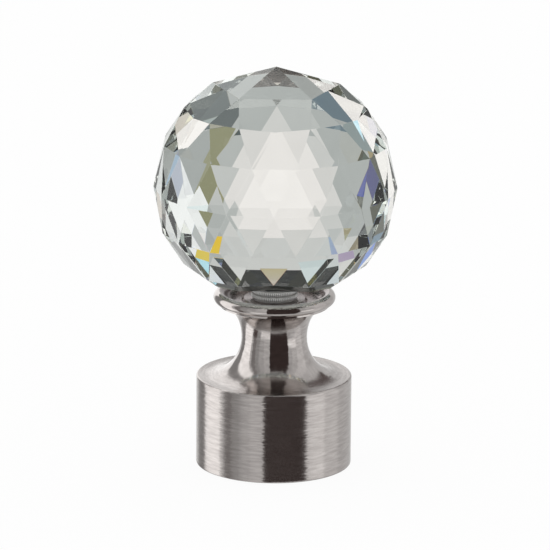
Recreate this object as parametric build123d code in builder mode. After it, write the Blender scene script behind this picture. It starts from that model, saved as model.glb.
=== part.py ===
"""A faceted crystal ball finial on a turned end cap for a round curtain pole.

Sizes are in millimetres. The finial stands on the mouth of its socket, with +Z up through the
ball and the origin at the middle of the mouth. -Y is the front, and the grub screw is at the back.
"""

import math
import os

from build123d import *

# Socket that slides over the end of the pole
pole_diameter = 28.0
pole_clearance = 0.25  # on the radius
socket_wall = 1.75
socket_depth = 15.5
socket_top = 3.25  # metal between the end of the bore and the shoulder
socket_edge_break = 0.35
mouth_lead_in = 0.5

# Neck, a trumpet that rises from the flat shoulder to the underside of the flange
shoulder_width = 1.7  # flat ring left round the foot of the trumpet
waist_radius = 6.75
waist_rise = 8.05  # from the shoulder to the waist
neck_rise = 6.9  # from the waist to the flange
neck_top_radius = 11.3
flange_lip = 0.4  # straight step between the trumpet and the bead

# Dished flange with a bead rim
bead_radius = 1.25
bead_wrap = 255.0  # degrees of the bead's outline, from its lowest point
dish_depth = 1.95  # from the top of the bead to the bottom of the dish
dish_cove = 1.3  # width of the cove inside the bead
seat_radius = 6.3
seat_rise = 0.5  # of the raised seat above the bottom of the dish

# Cut glass ball
ball_radius = 25.0  # to the points of its facets
ball_point = 25.3  # from the middle of the ball to the point at its top
facets_around = 16
crown_middles = (0, 3, 6, 10, 13)  # facets that lie under the five crown facets, from the front
crown_angle = 32.1  # polar angle of the crown's corners, from the top point
upper_row_angles = (48.6, 67.7)  # polar angles of the two rows of corners above the girdle
lower_row_angles = (48.6, 69.3)  # the same from the bottom, of the rows below the girdle
facet_middle_angle = 48.4  # polar angle of the corner under the middle of each crown facet
ball_flat_drop = 18.0  # from the middle of the ball to the flat under it
ball_gap = 5.5  # from the flange's seat up to the ball's flat

# Knurled bush between the seat and the ball's flat, bonded to the glass
bush_radius = 4.9
bush_knurls = 36
knurl_depth = 0.3
knurl_bands = 5
band_groove = 0.3  # height of the plain groove between two knurled bands
bush_roof = 1.0  # metal between the stud's hole and the glass

# Threaded stud through the bush and the neck, at the outer diameter of its thread
stud_radius = 3.0
stud_in_neck = 12.0
stud_edge_break = 0.6
thread_clearance = 0.05  # on the radius, of each tapped hole
hole_run_out = 0.6  # of the bush's hole past the end of the stud

# Grub screw in the back of the socket, backed out so that its point is flush with the bore
grub_radius = 2.0
grub_length = 3.0
grub_height = 7.5  # from the mouth to its axis
grub_hex = 2.0  # across the flats of its hexagon socket
grub_hex_depth = 1.6
grub_edge_break = 0.3

bore_radius = pole_diameter / 2 + pole_clearance
socket_radius = bore_radius + socket_wall
shoulder_z = socket_depth + socket_top
flare_radius = socket_radius - shoulder_width
waist_z = shoulder_z + waist_rise
neck_top_z = waist_z + neck_rise
bead_z = neck_top_z + flange_lip + bead_radius
dish_z = bead_z + bead_radius - dish_depth
seat_z = dish_z + seat_rise
flat_z = seat_z + ball_gap
ball_z = flat_z + ball_flat_drop


def ball_corner(polar, azimuth, distance=ball_radius):
    """Point at a polar angle from the top and an azimuth from the front, in degrees."""
    around = math.radians(azimuth)
    out = distance * math.sin(math.radians(polar))
    return Vector(
        out * math.sin(around), -out * math.cos(around), distance * math.cos(math.radians(polar))
    )


# A crown facet leans on the two corners beside its middle one and on a corner of the crown. The
# middle one lies where its ray from the ball's middle meets the plane of those three
facet_step = 360 / facets_around
crown_corner_steps = [
    (left + right) / 2
    for left, right in zip(crown_middles, crown_middles[1:] + (facets_around,))
]


def middle_corner(index, row_angle):
    """Corner under the middle of a crown facet, in the plane of that facet."""
    nearest = min(crown_corner_steps, key=lambda step: (index - step) % facets_around)
    if index > facets_around / 2:
        nearest = min(crown_corner_steps, key=lambda step: (step - index) % facets_around)
    beside = ball_corner(row_angle, facet_step * (index + 1))
    other = ball_corner(row_angle, facet_step * (index - 1))
    crown = ball_corner(crown_angle, facet_step * nearest)
    normal = (crown - beside).cross(beside - other)
    ray = ball_corner(facet_middle_angle, facet_step * index, 1)
    return ray * (beside.dot(normal) / ray.dot(normal))


def half_corners(row_angles, point_distance):
    """Corners of one half of the ball, from its point to the row next to the girdle."""
    corners = [ball_corner(0, 0, point_distance)]
    corners += [ball_corner(crown_angle, facet_step * step) for step in crown_corner_steps]
    for index in range(facets_around):
        if index in crown_middles:
            corners.append(middle_corner(index, row_angles[0]))
        else:
            corners.append(ball_corner(row_angles[0], facet_step * index))
        corners.append(ball_corner(row_angles[1], facet_step * (index + 0.5)))
    return corners


upper_corners = half_corners(upper_row_angles, ball_point)
girdle_corners = [ball_corner(90, facet_step * index) for index in range(facets_around)]
lower_corners = [
    Vector(corner.X, corner.Y, -corner.Z) for corner in half_corners(lower_row_angles, ball_radius)
]
ball_middle = Vector(0, 0, ball_z)
ball_corners = [ball_middle + corner for corner in upper_corners + girdle_corners + lower_corners]

# The ball, with a flat ground across its foot
with BuildPart() as crystal_ball:
    ConvexPolyhedron(ball_corners)
    split(bisect_by=Plane.XY.offset(flat_z), keep=Keep.TOP)
crystal_ball.part.label = "crystal_ball"

# The end cap, turned in one piece
with BuildPart() as socket_body:
    with BuildSketch(Plane.XZ):
        with BuildLine():
            mouth = Line((0, 0), (socket_radius, 0))
            side = Line(mouth @ 1, (socket_radius, shoulder_z))
            shoulder = Line(side @ 1, (flare_radius, shoulder_z))
            flare = EllipticalCenterArc(
                (flare_radius, waist_z),
                flare_radius - waist_radius,
                waist_rise,
                start_angle=180,
                arc_size=90,
            )
            neck = EllipticalCenterArc(
                (neck_top_radius, waist_z),
                neck_top_radius - waist_radius,
                neck_rise,
                start_angle=90,
                arc_size=90,
            )
            lip = Line((neck_top_radius, neck_top_z), (neck_top_radius, bead_z - bead_radius))
            bead = CenterArc((neck_top_radius, bead_z), bead_radius, -90, bead_wrap)
            cove = EllipticalCenterArc(
                ((bead @ 1).X - dish_cove, (bead @ 1).Y),
                dish_cove,
                (bead @ 1).Y - dish_z,
                start_angle=270,
                arc_size=90,
            )
            dish = Line(cove @ 0, (seat_radius + seat_rise, dish_z))
            seat_side = Line(dish @ 1, (seat_radius, seat_z))
            seat = Line(seat_side @ 1, (0, seat_z))
            axis_line = Line(seat @ 1, mouth @ 0)
        make_face()
    revolve(axis=Axis.Z)
    outer_edges = socket_body.edges().filter_by(
        lambda edge: edge.geom_type == GeomType.CIRCLE and abs(edge.radius - socket_radius) < 1e-6
    )
    fillet(outer_edges, socket_edge_break)
    with Locations(Plane((0, 0, 0), z_dir=(0, 0, -1))):
        Hole(bore_radius, depth=socket_depth)
    mouth_edge = socket_body.edges().filter_by(
        lambda edge: edge.geom_type == GeomType.CIRCLE
        and abs(edge.radius - bore_radius) < 1e-6
        and abs(edge.arc_center.Z) < 1e-6
    )
    chamfer(mouth_edge, mouth_lead_in)
    with Locations(Location((0, 0, seat_z))):
        Hole(stud_radius + thread_clearance, depth=stud_in_neck)
    with Locations(Plane((0, socket_radius, grub_height), z_dir=(0, 1, 0))):
        Hole(grub_radius + thread_clearance, depth=socket_radius)
socket_body.part.label = "socket_body"

# The bush, knurled in bands, with a plain groove under each band
bush_hole = ball_gap - bush_roof
band_pitch = ball_gap / knurl_bands
with BuildPart() as knurled_bush:
    with BuildSketch(Plane.XY.offset(seat_z)):
        Circle(bush_radius - knurl_depth)
    extrude(amount=ball_gap)
    for band in range(knurl_bands):
        with BuildSketch(Plane.XY.offset(seat_z + band_groove + band * band_pitch)):
            Circle(bush_radius)
            with PolarLocations(bush_radius, bush_knurls):
                Rectangle(knurl_depth * math.sqrt(2), knurl_depth * math.sqrt(2), 45, mode=Mode.SUBTRACT)
        extrude(amount=band_pitch - band_groove)
    with Locations(Plane((0, 0, seat_z), z_dir=(0, 0, -1))):
        Hole(stud_radius + thread_clearance, depth=bush_hole)
knurled_bush.part.label = "knurled_bush"

# The stud, from the foot of the neck's tapped hole into the bush
with BuildPart() as threaded_stud:
    with BuildSketch(Plane.XY.offset(seat_z - stud_in_neck)):
        Circle(stud_radius)
    extrude(amount=stud_in_neck + bush_hole - hole_run_out)
    chamfer(threaded_stud.edges().filter_by(GeomType.CIRCLE), stud_edge_break)
threaded_stud.part.label = "threaded_stud"

# The grub screw in the back wall
grub_head = Plane((0, bore_radius + grub_length, grub_height), z_dir=(0, 1, 0))
with BuildPart() as grub_screw:
    with BuildSketch(grub_head):
        Circle(grub_radius)
    extrude(amount=-grub_length)
    chamfer(grub_screw.edges().filter_by(GeomType.CIRCLE), grub_edge_break)
    with BuildSketch(grub_head):
        RegularPolygon(grub_hex / 2, 6, major_radius=False)
    extrude(amount=-grub_hex_depth, mode=Mode.SUBTRACT)
grub_screw.part.label = "grub_screw"

os.makedirs("parts", exist_ok=True)
export_step(crystal_ball.part, "parts/crystal_ball.step")
export_step(socket_body.part, "parts/socket_body.step")
export_step(knurled_bush.part, "parts/knurled_bush.step")
export_step(threaded_stud.part, "parts/threaded_stud.step")
export_step(grub_screw.part, "parts/grub_screw.step")
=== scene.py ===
"""Dresses the crystal ball finial: cut crystal over a turned, satin nickel end cap, in a studio.

Everything is in metres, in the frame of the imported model. The finial stands on the mouth of its
socket, +Z is up through the ball, -Y is the front and the grub screw is at the back.
"""

import logging
import math
from collections.abc import Iterable
from dataclasses import dataclass
from enum import Enum

import bmesh
import bpy
from mathutils import Matrix, Vector


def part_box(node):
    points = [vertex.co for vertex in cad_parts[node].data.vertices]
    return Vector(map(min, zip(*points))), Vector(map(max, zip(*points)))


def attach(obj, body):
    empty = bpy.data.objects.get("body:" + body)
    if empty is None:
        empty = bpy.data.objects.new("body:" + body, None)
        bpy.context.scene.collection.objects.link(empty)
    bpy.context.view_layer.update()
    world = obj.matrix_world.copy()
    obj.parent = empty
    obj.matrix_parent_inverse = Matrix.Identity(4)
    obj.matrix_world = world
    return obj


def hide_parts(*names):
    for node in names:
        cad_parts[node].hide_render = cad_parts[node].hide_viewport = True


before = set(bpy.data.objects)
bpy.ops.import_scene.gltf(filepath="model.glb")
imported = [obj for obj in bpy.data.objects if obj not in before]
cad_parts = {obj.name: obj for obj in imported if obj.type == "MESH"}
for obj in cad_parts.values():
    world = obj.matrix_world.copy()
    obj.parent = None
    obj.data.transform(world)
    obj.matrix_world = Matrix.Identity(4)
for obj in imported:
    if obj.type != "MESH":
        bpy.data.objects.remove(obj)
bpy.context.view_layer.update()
LOG = logging.getLogger("finial")

Colour = tuple[float, float, float, float]
Triple = tuple[float, float, float]
Span = tuple[float, float]

MM = 0.001
WHITE = (1.0, 1.0, 1.0, 1.0)
FULL_TURN = 2.0 * math.pi
UP = Vector((0.0, 0.0, 1.0))
ORIGIN = Vector((0.0, 0.0, 0.0))
CUT_TOLERANCE = 1e-7  # how near to a cutting plane a corner counts as lying in it
END_TOLERANCE = 1e-6  # how near to a rod's end a corner counts as lying on it
THREAD_SHADING = 25.0  # largest angle in degrees that is shaded smooth on a thread

# Tints of the light that the glass shows
TAN = (1.0, 0.86, 0.92)
COOL = (0.97, 1.02, 1.04)
OLIVE = (1.0, 0.94, 0.60)
PALE_BLUE = (0.86, 0.97, 1.0)
SLATE = (0.74, 0.94, 1.12)
MOSS = (1.0, 0.97, 0.80)
AMBER = (0.92, 0.60, 0.06)
SKY_BLUE = (0.43, 0.76, 0.90)
DEEP_BLUE = (0.12, 0.62, 1.35)
VIOLET = (0.36, 0.27, 0.46)

CAD_NORMALS = "custom_normal"  # shading of the CAD mesh, which a cut copy doesn't keep

# Numbers of the plugs that a Mix node uses for each kind of value: its share, its two values and
# its result. A Map Range node has its plugs for three values at a time after those for one
MIX_PLUGS = {"VECTOR": (1, 4, 5, 1), "RGBA": (0, 6, 7, 2)}
RANGE_PLUGS = slice(6, 11)
RANGE_RESULT = 1


class Rays(Enum):
    """Which rays a light panel of the studio shows itself to."""

    SHINE = "shine"
    GLASS = "glass"


def grey(value: float) -> Colour:
    """Returns an opaque neutral colour of the given linear value."""
    return (value, value, value, 1.0)


class Graph:
    """Short forms for the nodes of one material or world."""

    def __init__(self, tree: bpy.types.NodeTree) -> None:
        """Empties the tree and keeps it.

        Args:
            tree: The node tree of a material or of the world.
        """
        self.nodes, self.links = tree.nodes, tree.links
        self.nodes.clear()

    def add(self, kind: str, **settings) -> bpy.types.Node:
        """Adds a node.

        Args:
            kind: The node's type, without its Shader Node prefix.
            **settings: Attributes to set on the node.

        Returns:
            The new node.
        """
        node = self.nodes.new("ShaderNode" + kind)
        for name, value in settings.items():
            setattr(node, name, value)
        return node

    def feed(self, socket: bpy.types.NodeSocket, value: object) -> None:
        """Links an output to an input, or sets the input to a constant.

        Args:
            socket: The input.
            value: An output socket, or a constant.
        """
        if isinstance(value, bpy.types.NodeSocket):
            self.links.new(value, socket)
        else:
            socket.default_value = value

    def feed_all(self, sockets: Iterable[bpy.types.NodeSocket], values: Iterable[object]) -> None:
        """Feeds several inputs in turn."""
        for socket, value in zip(sockets, values):
            self.feed(socket, value)

    def math(self, operation: str, *values: object) -> bpy.types.NodeSocket:
        """Returns the result of a Math node on up to three values."""
        node = self.add("Math", operation=operation)
        self.feed_all(node.inputs, values)
        return node.outputs[0]

    def vector(self, operation: str, *values: object) -> bpy.types.NodeSocket:
        """Returns the result of a Vector Math node on its vector inputs."""
        node = self.add("VectorMath", operation=operation)
        self.feed_all(node.inputs, values)
        return node.outputs[0]

    def scaled(self, vector: bpy.types.NodeSocket, factor: object) -> bpy.types.NodeSocket:
        """Returns a vector times a number."""
        node = self.add("VectorMath", operation="SCALE")
        self.feed(node.inputs[0], vector)
        self.feed(node.inputs["Scale"], factor)
        return node.outputs[0]

    def across(self, place: bpy.types.NodeSocket) -> bpy.types.NodeSocket:
        """Returns the part of a place that lies square to the finial's axis."""
        return self.vector("MULTIPLY", place, (1.0, 1.0, 0.0))

    def length(self, vector: bpy.types.NodeSocket) -> bpy.types.NodeSocket:
        """Returns the length of a vector."""
        node = self.add("VectorMath", operation="LENGTH")
        self.feed(node.inputs[0], vector)
        return node.outputs["Value"]

    def wrapped(self, angles: bpy.types.NodeSocket) -> bpy.types.NodeSocket:
        """Returns three angles in radians, brought within half a turn of 0."""
        return self.vector("WRAP", angles, (math.pi,) * 3, (-math.pi,) * 3)

    def remap(
        self, value: object, low: float, high: float, start: float, end: float, smooth: bool = False
    ) -> bpy.types.NodeSocket:
        """Returns a value carried from one range to another.

        Args:
            value: What to carry over.
            low: Start of the old range.
            high: End of the old range.
            start: Start of the new range.
            end: End of the new range.
            smooth: Whether the change is eased at both ends.

        Returns:
            The new value, kept inside the new range.
        """
        node = self.add("MapRange", interpolation_type="SMOOTHSTEP" if smooth else "LINEAR")
        names = ("Value", "From Min", "From Max", "To Min", "To Max")
        self.feed_all((node.inputs[name] for name in names), (value, low, high, start, end))
        return node.outputs[0]

    def remap3(
        self, value: object, low: object, high: object, start: object, end: object,
        smooth: bool = True,
    ) -> bpy.types.NodeSocket:
        """Returns three values, each carried from one range to another."""
        kind = "SMOOTHSTEP" if smooth else "LINEAR"
        node = self.add("MapRange", data_type="FLOAT_VECTOR", interpolation_type=kind)
        self.feed_all(node.inputs[RANGE_PLUGS], (value, low, high, start, end))
        return node.outputs[RANGE_RESULT]

    def mix(
        self, kind: str, share: object, low: object, high: object, **settings
    ) -> bpy.types.NodeSocket:
        """Returns a value part of the way between two others.

        Args:
            kind: The kind of value, a key of MIX_PLUGS.
            share: How far it is towards the second one.
            low: The first value.
            high: The second one.
            **settings: Attributes to set on the node.

        Returns:
            The value.
        """
        node = self.add("Mix", data_type=kind, **settings)
        *plugs, result = MIX_PLUGS[kind]
        self.feed_all((node.inputs[plug] for plug in plugs), (share, low, high))
        return node.outputs[result]

    def blend3(self, share: object, low: object, high: object) -> bpy.types.NodeSocket:
        """Returns three numbers part of the way between three others, with a share for each."""
        return self.mix("VECTOR", share, low, high, factor_mode="NON_UNIFORM")

    def tint(self, share: object, low: object, high: object) -> bpy.types.NodeSocket:
        """Returns a colour part of the way between two others."""
        return self.mix("RGBA", share, low, high)

    def noise(
        self, place: bpy.types.NodeSocket, scale: float, detail: float = 2.0, roughness: float = 0.5
    ) -> bpy.types.NodeSocket:
        """Returns a noise value, between 0 and 1.

        Args:
            place: Coordinates of the noise.
            scale: Grains per unit of the coordinates.
            detail: Number of finer layers.
            roughness: How strong each finer layer is.

        Returns:
            The noise.
        """
        node = self.add("TexNoise")
        names = ("Vector", "Scale", "Detail", "Roughness")
        self.feed_all((node.inputs[name] for name in names), (place, scale, detail, roughness))
        return node.outputs[0]

    def finish(self, shader: bpy.types.NodeSocket, kind: str = "OutputMaterial") -> None:
        """Sends a shader to the tree's output."""
        self.links.new(shader, self.add(kind).inputs["Surface"])


def new_material(name: str) -> tuple[bpy.types.Material, Graph]:
    """Returns a node material without nodes, and the short forms for its nodes."""
    material = bpy.data.materials.new(name)
    material.use_nodes = True
    return material, Graph(material.node_tree)


@dataclass(frozen=True)
class CutCrystal:
    """Clear cut crystal with a polish that is not quite even.

    Attributes:
        refraction: Refractive index.
        clear: Colour that a clean face lets through.
        dull: The same where the polish has the faintest haze.
        haze_scale: Patches of haze in a metre.
        haze_detail: Layers of finer patches in them.
        haze_range: Values of their noise between which the haze sets in.
    """

    refraction: float = 1.49
    clear: Colour = (0.985, 1.0, 0.99, 1.0)
    dull: Colour = (0.965, 0.98, 0.97, 1.0)
    haze_scale: float = 160.0
    haze_detail: float = 3.0
    haze_range: Span = (0.35, 0.75)

    def material(self) -> bpy.types.Material:
        """Returns the crystal's material."""
        material, graph = new_material("cut_crystal")
        place = graph.add("TexCoord").outputs["Object"]
        patches = graph.noise(place, self.haze_scale, self.haze_detail)
        haze = graph.remap(patches, *self.haze_range, 0.0, 1.0, True)
        glass = graph.add("BsdfGlass")
        graph.feed(glass.inputs["Color"], graph.tint(haze, self.clear, self.dull))
        glass.inputs["Roughness"].default_value = 0.0
        glass.inputs["IOR"].default_value = self.refraction
        graph.finish(glass.outputs[0])
        return material


@dataclass(frozen=True)
class TurnedMetal:
    """Metal brushed on the lathe, in fine lines round the finial's axis.

    Attributes:
        name: The material's name.
        colour: Linear colour of the metal head on.
        worn: Colour of its duller lines.
        painted_dish_shade: Colour in the dish, darker as painted shade.
        roughness: Lowest and highest roughness of the brushed socket.
        polish: Share of that roughness on the bright turned neck and rim.
        shoulder: Height of the shoulder between the two.
        shoulder_fade: How far under and over the shoulder one goes over into the other.
        dish: Height above which the dish is brushed too and has its painted shade, and radius
            inside which it is.
        dish_fade: How far on each side of those that sets in.
        stretch: How much further the shine spreads along the axis than around it.
        grain_turn: Share of a turn by which the shine's long side is turned off the tangent.
        lines: Brushed lines in a metre along the outline.
        broad: How many broad lines of colour there are for each fine one.
        reach: How many times a line changes in a turn, about.
        line_noise: Layers of finer lines in the fine ones, and how strong each is.
        line_range: Values of their noise that stand for the lowest and highest roughness.
        broad_range: Values of the broad lines' noise between which they turn worn.
        apart: Shift between the noise of roughness and that of the lean round the axis.
        wander: How far a line leans round the axis.
        ripple: How far a line leans along the outline.
    """

    name: str = "satin_nickel"
    colour: Colour = (0.640, 0.600, 0.578, 1.0)
    worn: Colour = (0.500, 0.464, 0.446, 1.0)
    painted_dish_shade: Colour = (0.300, 0.262, 0.256, 1.0)
    roughness: Span = (0.18, 0.24)
    polish: float = 0.50
    shoulder: float = 18.75 * MM
    shoulder_fade: Span = (0.1 * MM, 1.5 * MM)
    dish: Span = (34.4 * MM, 11.2 * MM)
    dish_fade: Span = (0.1 * MM, 0.3 * MM)
    stretch: float = 1.0
    grain_turn: float = 0.25
    lines: float = 4600.0
    broad: float = 0.45
    reach: float = 9.0
    line_noise: Span = (3.0, 0.6)
    line_range: Span = (0.25, 0.75)
    broad_range: Span = (0.3, 0.7)
    apart: Triple = (31.7, 8.1, 57.3)
    wander: float = 0.15
    ripple: float = 0.10

    def material(self) -> bpy.types.Material:
        """Returns the metal's material."""
        material, graph = new_material(self.name)
        place = graph.add("TexCoord").outputs["Object"]
        split = graph.add("SeparateXYZ")
        graph.feed(split.inputs[0], place)
        height, across = split.outputs["Z"], graph.across(place)
        radius = graph.length(across)
        around = graph.scaled(graph.vector("NORMALIZE", across), self.reach)
        stack = graph.add("CombineXYZ")
        along = graph.math("ADD", height, radius)
        graph.feed(stack.inputs["Z"], graph.math("MULTIPLY", along, self.lines))
        brushed = graph.vector("ADD", around, stack.outputs[0])
        fine_line = graph.noise(brushed, 1.0, *self.line_noise)
        other_line = graph.noise(graph.vector("ADD", brushed, self.apart), 1.0, *self.line_noise)
        broad_line = graph.noise(graph.scaled(brushed, self.broad), 1.0)
        dished = self.dished(graph, height, radius)
        metal = graph.add("BsdfPrincipled")
        wear = graph.remap(broad_line, *self.broad_range, 0.0, 1.0)
        colour = graph.tint(wear, self.colour, self.worn)
        # Painted shade: the dish is coloured darker than the rest of the cap.
        graph.feed(metal.inputs["Base Color"], graph.tint(dished, colour, self.painted_dish_shade))
        metal.inputs["Metallic"].default_value = 1.0
        brush = graph.remap(fine_line, *self.line_range, *self.roughness)
        under, over = self.shoulder_fade
        share = graph.remap(height, self.shoulder - under, self.shoulder + over, 1.0, self.polish)
        share = graph.math("MAXIMUM", share, dished)
        graph.feed(metal.inputs["Roughness"], graph.math("MULTIPLY", brush, share))
        metal.inputs["Anisotropic"].default_value = self.stretch
        metal.inputs["Anisotropic Rotation"].default_value = self.grain_turn
        tangent = graph.add("Tangent", direction_type="RADIAL", axis="Z").outputs[0]
        graph.feed(metal.inputs["Tangent"], tangent)
        normal = graph.add("NewGeometry").outputs["Normal"]
        upward = graph.vector("CROSS_PRODUCT", normal, tangent)
        depth = graph.math("MULTIPLY", share, self.wander)
        lean = graph.math("MULTIPLY", graph.math("SUBTRACT", other_line, 0.5), depth)
        depth = graph.math("MULTIPLY", share, self.ripple)
        tip = graph.math("MULTIPLY", graph.math("SUBTRACT", fine_line, 0.5), depth)
        bent = graph.vector("ADD", normal, graph.scaled(tangent, lean))
        bent = graph.vector("ADD", bent, graph.scaled(upward, tip))
        graph.feed(metal.inputs["Normal"], graph.vector("NORMALIZE", bent))
        graph.finish(metal.outputs[0])
        return material

    def dished(
        self, graph: Graph, height: bpy.types.NodeSocket, radius: bpy.types.NodeSocket
    ) -> bpy.types.NodeSocket:
        """Returns how far a place lies in the dish.

        Args:
            graph: The metal's nodes.
            height: Height of the place.
            radius: How far it is from the axis.

        Returns:
            A number from 0 to 1.
        """
        (lowest, widest), (rise, width) = self.dish, self.dish_fade
        above = graph.remap(height, lowest - rise, lowest + rise, 0.0, 1.0)
        inside = graph.remap(radius, widest - width, widest + width, 1.0, 0.0)
        return graph.math("MULTIPLY", above, inside)


@dataclass(frozen=True)
class PlatedSteel:
    """Steel of the small fasteners, with a fine uneven surface.

    Attributes:
        name: The material's name.
        colour: Linear colour of the clean metal.
        stained: Colour of its duller patches.
        roughness: Lowest and highest roughness.
        grain: Grains in a metre.
        grain_detail: Layers of finer grains in them.
        grain_range: Values of their noise that stand for the lowest and highest roughness.
        patch: Width of a stained patch, in grains.
        patch_range: Values of the patches' noise between which they turn stained.
        bump_strength: How much of the grain's bump shows.
        bump_depth: Depth of the grain.
        metallic: How far it shines as bare metal, and not as a matt plating.
        crest: Radii between which a knurl turns from its darker valley to the plain colour at its
            point.
        valley_shade_and_dirt: Colour of the valleys, dirt and painted shade in them.
    """

    name: str = "bright_steel"
    colour: Colour = (0.80, 0.80, 0.79, 1.0)
    stained: Colour = (0.66, 0.66, 0.65, 1.0)
    roughness: Span = (0.08, 0.20)
    grain: float = 1400.0
    grain_detail: float = 4.0
    grain_range: Span = (0.3, 0.7)
    patch: float = 6.0
    patch_range: Span = (0.4, 0.7)
    bump_strength: float = 0.15
    bump_depth: float = 0.03 * MM
    metallic: float = 1.0
    crest: Span | None = None
    valley_shade_and_dirt: Colour = (0.42, 0.42, 0.41, 1.0)

    def material(self) -> bpy.types.Material:
        """Returns the steel's material."""
        material, graph = new_material(self.name)
        place = graph.add("TexCoord").outputs["Object"]
        grain = graph.noise(place, self.grain, self.grain_detail)
        patches = graph.noise(place, self.grain / self.patch)
        stain = graph.remap(patches, *self.patch_range, 0.0, 1.0, True)
        metal = graph.add("BsdfPrincipled")
        colour = graph.tint(stain, self.colour, self.stained)
        # Painted shade and dirt: the knurl's valleys are coloured darker than its points.
        if self.crest:
            height = graph.remap(graph.length(graph.across(place)), *self.crest, 0.0, 1.0)
            colour = graph.tint(height, self.valley_shade_and_dirt, colour)
        graph.feed(metal.inputs["Base Color"], colour)
        metal.inputs["Metallic"].default_value = self.metallic
        rough = graph.remap(grain, *self.grain_range, *self.roughness)
        graph.feed(metal.inputs["Roughness"], rough)
        bump = graph.add("Bump")
        bump.inputs["Strength"].default_value = self.bump_strength
        bump.inputs["Distance"].default_value = self.bump_depth
        graph.feed(bump.inputs["Height"], grain)
        graph.feed(metal.inputs["Normal"], bump.outputs[0])
        graph.finish(metal.outputs[0])
        return material


def new_piece(
    name: str, shape: bmesh.types.BMesh, material: bpy.types.Material, node: str,
    smooth_angle: float = 0.0,
) -> bpy.types.Object:
    """Turns a finished shape into a piece that stands for a CAD node.

    Args:
        name: The piece's name.
        shape: Its closed shape, which is freed.
        material: Its finish.
        node: The CAD node that it replaces.
        smooth_angle: Largest angle in degrees that is shaded smooth.

    Returns:
        The piece.
    """
    bmesh.ops.recalc_face_normals(shape, faces=shape.faces[:])
    for face in shape.faces:
        face.smooth = smooth_angle > 0.0
    for edge in shape.edges:
        edge.smooth = edge.calc_face_angle(math.pi) < math.radians(smooth_angle)
    mesh = bpy.data.meshes.new(name)
    shape.to_mesh(mesh)
    shape.free()
    if CAD_NORMALS in mesh.attributes:
        mesh.attributes.remove(mesh.attributes[CAD_NORMALS])
    mesh.materials.append(material)
    piece = bpy.data.objects.new(name, mesh)
    bpy.context.collection.objects.link(piece)
    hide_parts(node)
    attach(piece, "root")
    LOG.info("built %s with %d faces", name, len(mesh.polygons))
    return piece


@dataclass
class CrystalBall:
    """The cut ball, with the narrow polished edge that a real facet has.

    Attributes:
        node: The CAD node with its facets.
        edge: Width of the polished edge between two facets.
        weld: How near two corners are that become one.
        flat: Largest angle in degrees between two triangles of one facet.
    """

    node: str = "crystal_ball"
    edge: float = 0.03 * MM
    weld: float = 0.005 * MM
    flat: float = 0.3

    def build(self, material: bpy.types.Material) -> bpy.types.Object:
        """Returns the ball as a piece."""
        shape = bmesh.new()
        shape.from_mesh(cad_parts[self.node].data)
        bmesh.ops.remove_doubles(shape, verts=shape.verts[:], dist=self.weld)
        bmesh.ops.dissolve_limit(
            shape, angle_limit=math.radians(self.flat), verts=shape.verts[:], edges=shape.edges[:]
        )
        bmesh.ops.bevel(
            shape, geom=shape.edges[:] + shape.verts[:], offset=self.edge, offset_type="OFFSET",
            segments=1, profile=0.5, affect="EDGES", material=-1, clamp_overlap=True,
        )
        return new_piece("faceted_crystal", shape, material, self.node)


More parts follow.
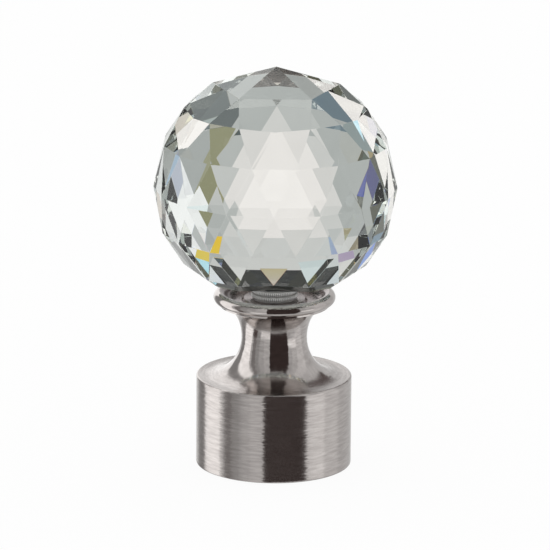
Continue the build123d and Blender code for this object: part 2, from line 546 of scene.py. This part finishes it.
@dataclass
class KnurledCollar:
    """The bush under the ball: bands of small diamond points, cut in bright steel.

    Attributes:
        node: The CAD node that it replaces.
        radius: Radius over the points.
        depth: Depth of the knurling.
        points: Points in one band.
        bands: Number of bands.
        groove: Height of the plain groove under each band.
        hole: Radius of the stud's hole.
        roof: Metal left over the hole.
        bond: How far it is let into the glass, so that the glass shows it without a gap.
        weld: How near two corners are that become one.
    """

    node: str = "knurled_bush"
    radius: float = 4.9 * MM
    depth: float = 0.3 * MM
    points: int = 36
    bands: int = 5
    groove: float = 0.2 * MM
    hole: float = 3.05 * MM
    roof: float = 1.0 * MM
    bond: float = 0.02 * MM
    weld: float = 0.001 * MM

    def build(self, material: bpy.types.Material) -> bpy.types.Object:
        """Returns the bush as a piece."""
        low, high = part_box(self.node)
        foot, top = low[2], high[2] + self.bond
        pitch = (top - foot) / self.bands
        core = self.radius - self.depth
        shape = bmesh.new()
        steps = 2 * self.points
        ring = bmesh.ops.create_circle(
            shape, segments=steps, radius=core, cap_ends=False,
            matrix=Matrix.Translation((0.0, 0.0, foot)),
        )["verts"]
        edges = foot_edges = list({edge for vert in ring for edge in vert.link_edges})
        knurls = []
        for _ in range(self.bands):
            edges, _ = self.raise_ring(shape, edges, self.groove)
            edges, faces = self.raise_ring(shape, edges, pitch - self.groove)
            knurls.extend(faces)
        bmesh.ops.edgeloop_fill(shape, edges=edges)
        self.raise_points(shape, knurls)
        inner = bmesh.ops.create_circle(
            shape, segments=steps, radius=self.hole, cap_ends=False,
            matrix=Matrix.Translation((0.0, 0.0, foot)),
        )["verts"]
        inner_edges = list({edge for vert in inner for edge in vert.link_edges})
        bmesh.ops.bridge_loops(shape, edges=foot_edges + inner_edges)
        edges, _ = self.raise_ring(shape, inner_edges, top - foot - self.roof)
        bmesh.ops.edgeloop_fill(shape, edges=edges)
        bmesh.ops.remove_doubles(shape, verts=shape.verts[:], dist=self.weld)
        return new_piece("knurled_collar", shape, material, self.node)

    @staticmethod
    def raise_ring(
        shape: bmesh.types.BMesh, edges: list[bmesh.types.BMEdge], height: float
    ) -> tuple[list[bmesh.types.BMEdge], list[bmesh.types.BMFace]]:
        """Extrudes a loop of edges upwards.

        Args:
            shape: The shape to grow.
            edges: The loop.
            height: How far up.

        Returns:
            The new loop, and the faces between the loops.
        """
        grown = bmesh.ops.extrude_edge_only(shape, edges=edges)["geom"]
        verts = [item for item in grown if isinstance(item, bmesh.types.BMVert)]
        bmesh.ops.translate(shape, vec=(0.0, 0.0, height), verts=verts)
        fresh = set(verts)
        loop = [
            item for item in grown
            if isinstance(item, bmesh.types.BMEdge) and all(vert in fresh for vert in item.verts)
        ]
        faces = [item for item in grown if isinstance(item, bmesh.types.BMFace)]
        return loop, faces

    def raise_points(self, shape: bmesh.types.BMesh, faces: list[bmesh.types.BMFace]) -> None:
        """Pokes each field of the knurled bands out to a point."""
        poked = bmesh.ops.poke(shape, faces=faces, center_mode="MEAN")["verts"]
        for vert in poked:
            outward = Vector((vert.co.x, vert.co.y, 0.0)).normalized()
            vert.co = outward * self.radius + Vector((0.0, 0.0, vert.co.z))


@dataclass
class Thread:
    """A metric thread, wound up the Z axis from its foot.

    Attributes:
        radius: Radius over the crests.
        pitch: Rise of one turn.
        length: Length of the threaded rod.
        edge_break: Size of the slope at both ends.
        segments: Straight steps in a turn.
        depth: Depth of the thread, as a share of the pitch.
        flat: Width of its flats, as a share of the pitch.
        lead: Turns wound under the foot, which are cut off again.
        spare: Turns wound beyond the rod's length in all, the lead among them.
        weld: How near two corners are that become one.
    """

    radius: float
    pitch: float
    length: float
    edge_break: float
    segments: int = 32
    depth: float = 0.6
    flat: float = 0.125
    lead: float = 2.0
    spare: int = 3
    weld: float = 0.004 * MM

    def wound(self) -> bmesh.types.BMesh:
        """Returns the rod open at both ends, from height 0 to its length."""
        shape = bmesh.new()
        root = self.radius - self.depth * self.pitch
        flat = self.flat * self.pitch
        middle = self.pitch / 2.0
        outline = [
            (root, -flat), (root, flat),
            (self.radius, middle - flat / 2.0), (self.radius, middle + flat / 2.0),
            (root, self.pitch - flat),
        ]
        below = self.lead * self.pitch
        verts = [shape.verts.new((reach, 0.0, height - below)) for reach, height in outline]
        edges = [shape.edges.new(pair) for pair in zip(verts, verts[1:])]
        turns = math.ceil(self.length / self.pitch) + self.spare
        bmesh.ops.spin(
            shape, geom=verts + edges, cent=ORIGIN, axis=UP, angle=FULL_TURN * turns,
            steps=self.segments * turns, dvec=(0.0, 0.0, self.pitch / self.segments),
            use_duplicate=False,
        )
        bmesh.ops.remove_doubles(shape, verts=shape.verts[:], dist=self.weld)
        for height, keep_above in ((0.0, True), (self.length, False)):
            bmesh.ops.bisect_plane(
                shape, geom=shape.verts[:] + shape.edges[:] + shape.faces[:],
                dist=CUT_TOLERANCE, plane_co=(0.0, 0.0, height), plane_no=UP,
                clear_inner=keep_above, clear_outer=not keep_above,
            )
        for vert in shape.verts:
            near = min(vert.co.z, self.length - vert.co.z)
            limit = self.radius - max(0.0, self.edge_break - near)
            reach = math.hypot(vert.co.x, vert.co.y)
            if reach > limit:
                vert.co.x *= limit / reach
                vert.co.y *= limit / reach
        return shape

    @staticmethod
    def end_loop(shape: bmesh.types.BMesh, height: float) -> list[bmesh.types.BMEdge]:
        """Returns the open edges at one end of the rod."""
        return [
            edge for edge in shape.edges
            if edge.is_boundary
            and all(abs(vert.co.z - height) < END_TOLERANCE for vert in edge.verts)
        ]


@dataclass
class ThreadedStud:
    """The stud that joins the bush to the neck, hidden inside both.

    Attributes:
        node: The CAD node that it replaces.
        pitch: Pitch of its thread.
        edge_break: Size of the slope at its ends.
    """

    node: str = "threaded_stud"
    pitch: float = 1.0 * MM
    edge_break: float = 0.6 * MM

    def build(self, material: bpy.types.Material) -> bpy.types.Object:
        """Returns the stud as a piece."""
        low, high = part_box(self.node)
        thread = Thread(high[0], self.pitch, high[2] - low[2], self.edge_break)
        shape = thread.wound()
        for height in (0.0, thread.length):
            bmesh.ops.edgeloop_fill(shape, edges=thread.end_loop(shape, height))
        bmesh.ops.translate(shape, vec=(0.0, 0.0, low[2]), verts=shape.verts[:])
        return new_piece(
            "stud_with_thread", shape, material, self.node, THREAD_SHADING
        )


@dataclass
class GrubScrew:
    """The set screw in the back wall, with a hexagon socket in its outer end.

    Attributes:
        node: The CAD node that it replaces.
        pitch: Pitch of its thread.
        edge_break: Size of the slope at its ends.
        hexagon: Width across the flats of its socket.
        hexagon_depth: Depth of that socket.
    """

    node: str = "grub_screw"
    pitch: float = 0.7 * MM
    edge_break: float = 0.3 * MM
    hexagon: float = 2.0 * MM
    hexagon_depth: float = 1.6 * MM

    def build(self, material: bpy.types.Material) -> bpy.types.Object:
        """Returns the screw as a piece."""
        low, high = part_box(self.node)
        length = high[1] - low[1]
        thread = Thread(high[0], self.pitch, length, self.edge_break)
        shape = thread.wound()
        bmesh.ops.edgeloop_fill(shape, edges=thread.end_loop(shape, 0.0))
        corners = bmesh.ops.create_circle(
            shape, segments=6, radius=self.hexagon / math.sqrt(3.0), cap_ends=False,
            matrix=Matrix.Translation((0.0, 0.0, length)),
        )["verts"]
        rim = list({edge for vert in corners for edge in vert.link_edges})
        outer = [edge for edge in thread.end_loop(shape, length) if edge not in rim]
        bmesh.ops.bridge_loops(shape, edges=outer + rim)
        floor, _ = KnurledCollar.raise_ring(shape, rim, -self.hexagon_depth)
        bmesh.ops.edgeloop_fill(shape, edges=floor)
        middle = Vector(((low[0] + high[0]) / 2.0, low[1], (low[2] + high[2]) / 2.0))
        turn = Matrix.Rotation(math.radians(-90.0), 4, "X")
        bmesh.ops.transform(shape, matrix=Matrix.Translation(middle) @ turn, verts=shape.verts[:])
        return new_piece(
            "hexagon_grub_screw", shape, material, self.node, THREAD_SHADING
        )


@dataclass
class EndCap:
    """The turned end cap, whose CAD mesh stays as it is.

    Attributes:
        node: The CAD node that it dresses.
    """

    node: str = "socket_body"

    def dress(self, material: bpy.types.Material) -> None:
        """Gives the cap its finish."""
        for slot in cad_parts[self.node].material_slots:
            slot.material = material
        LOG.info("dressed %s in %s", self.node, material.name)


@dataclass(frozen=True)
class Split:
    """How far cut glass moves each colour of a panel from the axis that it is looked through.

    Attributes:
        axis: Azimuth and elevation of that axis, in degrees.
        spread: Share by which red, green and blue are moved outwards.
        rise: How much of that goes for elevations.
    """

    axis: Span = (180.0, -15.0)
    spread: Triple = (0.0, 0.0, 0.0)
    rise: float = 0.2

    def moved(self, angle: float, axis: float, part: float) -> tuple[float, ...]:
        """Returns an angle in degrees as three angles in radians, one for each colour."""
        return tuple(
            math.radians(axis + (angle - axis) * (1.0 + part * share)) for share in self.spread
        )


@dataclass
class Panel:
    """A soft panel or dark flag of the studio, as a field of directions round the finial.

    Attributes:
        azimuth: Its two edges, in degrees from the front, positive to the right.
        elevation: Its lower and upper edge, in degrees.
        light: How bright it is.
        rays: Which rays see it.
        soft: Width of its soft edge, in degrees.
        tint: Colour of its light.
    """

    azimuth: Span
    elevation: Span
    light: float
    rays: Rays
    soft: float = 3.0
    tint: Triple = (1.0, 1.0, 1.0)

    def mask(self, graph: Graph, around: object, up: object, split: Split) -> bpy.types.NodeSocket:
        """Returns how much of the panel a direction sees.

        Args:
            graph: The world's nodes.
            around: The direction's azimuth, in radians.
            up: Its elevation, in radians.
            split: How far glass moves each colour.

        Returns:
            A number from 0 to 1 for each colour.
        """
        sides = (
            (around, self.azimuth, split.axis[0], 1.0),
            (up, self.elevation, split.axis[1], split.rise),
        )
        shares = []
        for value, (start, end), axis, part in sides:
            middle, half = (start + end) / 2.0, (end - start) / 2.0
            if value is around:
                middle = (middle - axis + 180.0) % 360.0 - 180.0 + axis
            off = graph.vector("SUBTRACT", value, split.moved(middle, axis, part))
            if value is around:
                off = graph.wrapped(off)
            shares.append(
                graph.remap3(
                    graph.vector("ABSOLUTE", off),
                    (math.radians(half - self.soft / 2.0),) * 3,
                    (math.radians(half + self.soft / 2.0),) * 3,
                    (1.0,) * 3, (0.0,) * 3,
                )
            )
        return graph.vector("MULTIPLY", *shares)


@dataclass(frozen=True)
class Cast:
    """How the room's light changes colour from its dim to its bright parts.

    Attributes:
        levels: Brightness at which the change begins and ends.
        dim: Colour up to there.
        bright: Colour from there on.
    """

    levels: Span
    dim: Triple
    bright: Triple


@dataclass(frozen=True)
class View:
    """The photograph's view.

    Attributes:
        azimuth: Where the camera stands, in degrees from the front, positive to the right.
        elevation: How high it looks down from, in degrees.
        roll: How far it is turned to the left about its own axis, in degrees.
        aim: The point that it looks at.
        distance: How far it is from there.
        focal: Its focal length, in pixels of the picture.
        picture: Width of the picture, in pixels.
        sensor: Width of the sensor, in millimetres.
        reach: How far it sees.
    """

    azimuth: float = 0.64
    elevation: float = 15.5
    roll: float = 0.42
    aim: Triple = (0.00006, 0.0, 0.0399)
    distance: float = 1.4
    focal: float = 6818.0
    picture: float = 550.0
    sensor: float = 36.0
    reach: float = 20.0

    def camera(self) -> None:
        """Places the camera."""
        azimuth, elevation = math.radians(self.azimuth), math.radians(self.elevation)
        roll = math.radians(self.roll)
        back = Vector(
            (
                math.sin(azimuth) * math.cos(elevation),
                -math.cos(azimuth) * math.cos(elevation),
                math.sin(elevation),
            )
        )
        right = Vector((math.cos(azimuth), math.sin(azimuth), 0.0))
        up = back.cross(right)
        turned_right = right * math.cos(roll) + up * math.sin(roll)
        turned_up = up * math.cos(roll) - right * math.sin(roll)
        lens = bpy.data.cameras.new("camera")
        lens.sensor_width = self.sensor
        lens.lens = self.focal / self.picture * self.sensor
        lens.clip_end = self.reach
        camera = bpy.data.objects.new("camera", lens)
        bpy.context.collection.objects.link(camera)
        place = Matrix((turned_right, turned_up, back)).transposed().to_4x4()
        place.translation = Vector(self.aim) + back * self.distance
        camera.matrix_world = place
        bpy.context.scene.camera = camera


@dataclass
class Studio:
    """Floor, room and camera.

    Attributes:
        panels: The panels and flags, later ones over earlier ones.
        view: The camera's view.
        dim: Brightness of the bare room to metal and to glass.
        glow: Middle of the lit backdrop, as azimuth and elevation in degrees.
        glow_size: Half width and half height of the backdrop's glow, in degrees.
        glow_light: Brightness in its middle.
        glow_end: Where it has faded into the bare room, as the square of a share of its size.
        glass_split: How far the glass moves each colour of the room.
        glass_cast: How the room changes colour to glass.
        metal_cast: The same to metal.
        floor_size: Half width of the floor.
        floor_paint: How pale the floor is.
        floor_glow: How far it glows white of its own, and not by the light on it.
        bounces: Most bounces of a ray in all, off metal, and through glass.
    """

    panels: list[Panel]
    view: View = View()
    dim: Span = (0.60, 0.45)
    glow: Span = (182.5, -15.0)
    glow_size: Span = (19.0, 23.5)
    glow_light: float = 0.98
    glow_end: float = 1.4
    glass_split: Split = Split(spread=(0.011, 0.0, -0.015))
    glass_cast: Cast = Cast((0.3, 0.9), (0.95, 1.0, 0.985), (1.0, 0.95, 0.93))
    metal_cast: Cast = Cast((0.0, 0.35), (1.0, 0.72, 0.68), (1.0, 1.0, 1.0))
    floor_size: float = 3.0
    floor_paint: float = 0.9
    floor_glow: float = 0.93
    bounces: tuple[int, int, int] = (12, 6, 10)

    def floor(self) -> None:
        """Lays the pale floor, which keeps a faint shadow of the finial."""
        shape = bmesh.new()
        bmesh.ops.create_grid(shape, x_segments=2, y_segments=2, size=self.floor_size)
        mesh = bpy.data.meshes.new("floor")
        shape.to_mesh(mesh)
        shape.free()
        floor = bpy.data.objects.new("floor", mesh)
        bpy.context.collection.objects.link(floor)
        material, graph = new_material("pale_floor")
        paint = graph.add("BsdfDiffuse")
        paint.inputs["Color"].default_value = grey(self.floor_paint)
        glow = graph.add("Emission")
        mix = graph.add("MixShader")
        mix.inputs[0].default_value = self.floor_glow
        graph.links.new(paint.outputs[0], mix.inputs[1])
        graph.links.new(glow.outputs[0], mix.inputs[2])
        graph.finish(mix.outputs[0])
        mesh.materials.append(material)
        floor.visible_glossy = False
        floor.visible_transmission = False
        floor.visible_diffuse = False

    def light(self, graph: Graph, around: object, up: object, rays: Rays) -> bpy.types.NodeSocket:
        """Returns how bright the room is in a direction.

        Args:
            graph: The world's nodes.
            around: The direction's azimuth, in radians.
            up: Its elevation, in radians.
            rays: Whether metal or glass looks.

        Returns:
            The colour of the light.
        """
        glass = rays is Rays.GLASS
        split = self.glass_split if glass else Split()
        spread = []
        for value, middle, half in zip((around, up), self.glow, self.glow_size):
            off = graph.vector("SUBTRACT", value, (math.radians(middle),) * 3)
            if value is around:
                off = graph.wrapped(off)
            scaled = graph.vector("DIVIDE", off, (math.radians(half),) * 3)
            spread.append(graph.vector("MULTIPLY", scaled, scaled))
        distance = graph.vector("ADD", *spread)
        dim = self.dim[1] if glass else self.dim[0]
        level = graph.remap3(
            distance, (0.0,) * 3, (self.glow_end,) * 3, (self.glow_light,) * 3, (dim,) * 3, False
        )
        for panel in self.panels:
            if panel.rays is rays:
                light = tuple(panel.light * part for part in panel.tint)
                level = graph.blend3(panel.mask(graph, around, up, split), level, light)
        cast = self.glass_cast if glass else self.metal_cast
        low, high = cast.levels
        shade = graph.remap3(level, (low,) * 3, (high,) * 3, cast.dim, cast.bright)
        return graph.vector("MULTIPLY", level, shade)

    def room(self) -> None:
        """Sets the light of the room, white where the camera looks."""
        world = bpy.data.worlds.new("room")
        bpy.context.scene.world = world
        world.use_nodes = True
        graph = Graph(world.node_tree)
        split = graph.add("SeparateXYZ")
        graph.feed(split.inputs[0], graph.add("TexCoord").outputs["Generated"])
        around = graph.math(
            "ARCTAN2", split.outputs["X"], graph.math("MULTIPLY", split.outputs["Y"], -1.0)
        )
        up = graph.math("ARCSINE", split.outputs["Z"])
        path = graph.add("LightPath")
        colour = graph.tint(
            path.outputs["Is Transmission Ray"],
            self.light(graph, around, up, Rays.SHINE),
            self.light(graph, around, up, Rays.GLASS),
        )
        plain = graph.math("MAXIMUM", path.outputs["Is Camera Ray"], path.outputs["Is Diffuse Ray"])
        sky = graph.add("Background")
        graph.feed(sky.inputs["Color"], graph.tint(plain, colour, WHITE))
        graph.finish(sky.outputs[0], "OutputWorld")

    def build(self) -> None:
        """Builds the whole studio."""
        self.room()
        self.floor()
        self.view.camera()
        scene = bpy.context.scene
        scene.view_settings.view_transform = "Standard"
        cycles = scene.cycles
        cycles.max_bounces, cycles.glossy_bounces, cycles.transmission_bounces = self.bounces


PANELS = [
    # The room as the glass shows it. Over the backdrop it is dark, with the lit ceiling above
    Panel((160, 212), (5, 30), 0.62, Rays.GLASS, 8.0),
    Panel((173, 187), (17, 30), 0.50, Rays.GLASS, 3.0, TAN),
    Panel((188, 216), (14, 30), 0.68, Rays.GLASS, 4.0, PALE_BLUE),
    Panel((-200, 200), (24.0, 120), 0.025, Rays.GLASS, 0.7),
    Panel((205, 216), (18, 29), 0.70, Rays.GLASS, 2.0),
    Panel((-200, 200), (37, 120), 0.20, Rays.GLASS, 6.0, PALE_BLUE),
    Panel((-200, 200), (62, 120), 0.55, Rays.GLASS, 10.0),
    Panel((-120, 120), (42, 120), 1.10, Rays.GLASS, 6.0),
    # Left of the backdrop, white panels between dark flags
    Panel((134, 151), (-31, -17), 0.37, Rays.GLASS),
    Panel((122, 135), (-21, -9), 0.78, Rays.GLASS, tint=COOL),
    Panel((112, 150), (-14, 23), 0.94, Rays.GLASS, tint=COOL),
    Panel((100, 148), (-68, -38), 0.15, Rays.GLASS, 6.0, PALE_BLUE),
    Panel((112, 147), (-37, -31), 1.10, Rays.GLASS),
    Panel((150, 160), (-33, -4), 0.30, Rays.GLASS, 2.0, OLIVE),
    Panel((150, 162), (-45, -33), 0.12, Rays.GLASS, 2.0, PALE_BLUE),
    # Right of the backdrop, dark flags
    Panel((214, 235), (-38, -28), 0.31, Rays.GLASS, 3.0, PALE_BLUE),
    Panel((207, 229), (-55, -40), 0.24, Rays.GLASS, 2.0, SLATE),
    Panel((-142, -127), (-28, 20), 0.12, Rays.GLASS, 3.0, MOSS),
    # Small spots of one colour, which sparkle in single facets
    Panel((226, 227.6), (-16, -9), 0.42, Rays.GLASS, 2.0, DEEP_BLUE),
    Panel((150, 154), (12, 20), 1.0, Rays.GLASS, 1.5, AMBER),
    Panel((150, 155), (23.5, 27), 1.0, Rays.GLASS, 1.0, SKY_BLUE),
    Panel((206.5, 208.5), (12, 16), 1.0, Rays.GLASS, 1.0, VIOLET),
    # On the camera's side, dark with a white panel to each side
    Panel((-60, 60), (-50, 40), 0.30, Rays.GLASS, 6.0),
    Panel((-34, 34), (-62, 40), 0.09, Rays.GLASS, 2.0, OLIVE),
    Panel((36, 56), (-42, -12), 1.02, Rays.GLASS, tint=COOL),
    Panel((-56, -36), (-42, -12), 1.02, Rays.GLASS, tint=COOL),
    Panel((-124, -78), (-66, 34), 1.20, Rays.GLASS),
    # The room as the metal mirrors it, from the left round the front to the right
    Panel((-178, -150), (-8, 60), 1.25, Rays.SHINE, 6.0),
    Panel((-148, -124), (-45, 60), 0.30, Rays.SHINE),
    Panel((-122, -86), (-45, 60), 1.35, Rays.SHINE),
    Panel((-79, -65), (-45, 60), 0.27, Rays.SHINE),
    Panel((-65, -51), (-45, 60), 0.40, Rays.SHINE),
    Panel((-51, -35), (-45, 60), 0.50, Rays.SHINE),
    Panel((-84, -66), (-50, -29), 0.10, Rays.SHINE, 4.0),
    Panel((-50, -14), (-50, -30), 1.05, Rays.SHINE, 4.0),
    Panel((-14.5, 50), (-47, 60), 0.05, Rays.SHINE, 1.0),
    Panel((50, 63), (-45, 60), 0.50, Rays.SHINE, 4.0),
    Panel((52, 92), (-26, -8), 1.15, Rays.SHINE, 5.0),
    Panel((82, 112), (-45, 60), 0.75, Rays.SHINE, 6.0),
    Panel((148, 174), (22, 60), 0.12, Rays.SHINE, 5.0),
    Panel((-200, 200), (-120, -47), 0.62, Rays.SHINE, 4.0),
]


def main() -> None:
    """Builds the studio and dresses each piece in turn."""
    logging.basicConfig(level=logging.INFO, format="%(message)s")
    Studio(panels=PANELS).build()
    steel = PlatedSteel().material()
    black_steel = PlatedSteel(
        name="dark_steel", colour=grey(0.10), stained=grey(0.06), roughness=(0.25, 0.45)
    ).material()
    EndCap().dress(TurnedMetal().material())
    CrystalBall().build(CutCrystal().material())
    KnurledCollar().build(
        PlatedSteel(
            name="knurled_plating", colour=grey(0.97), stained=grey(0.90), roughness=(0.03, 0.12),
            metallic=0.10, crest=(4.60 * MM, 4.80 * MM),
        ).material()
    )
    ThreadedStud().build(steel)
    GrubScrew().build(black_steel)


if __name__ == "__main__":
    main()
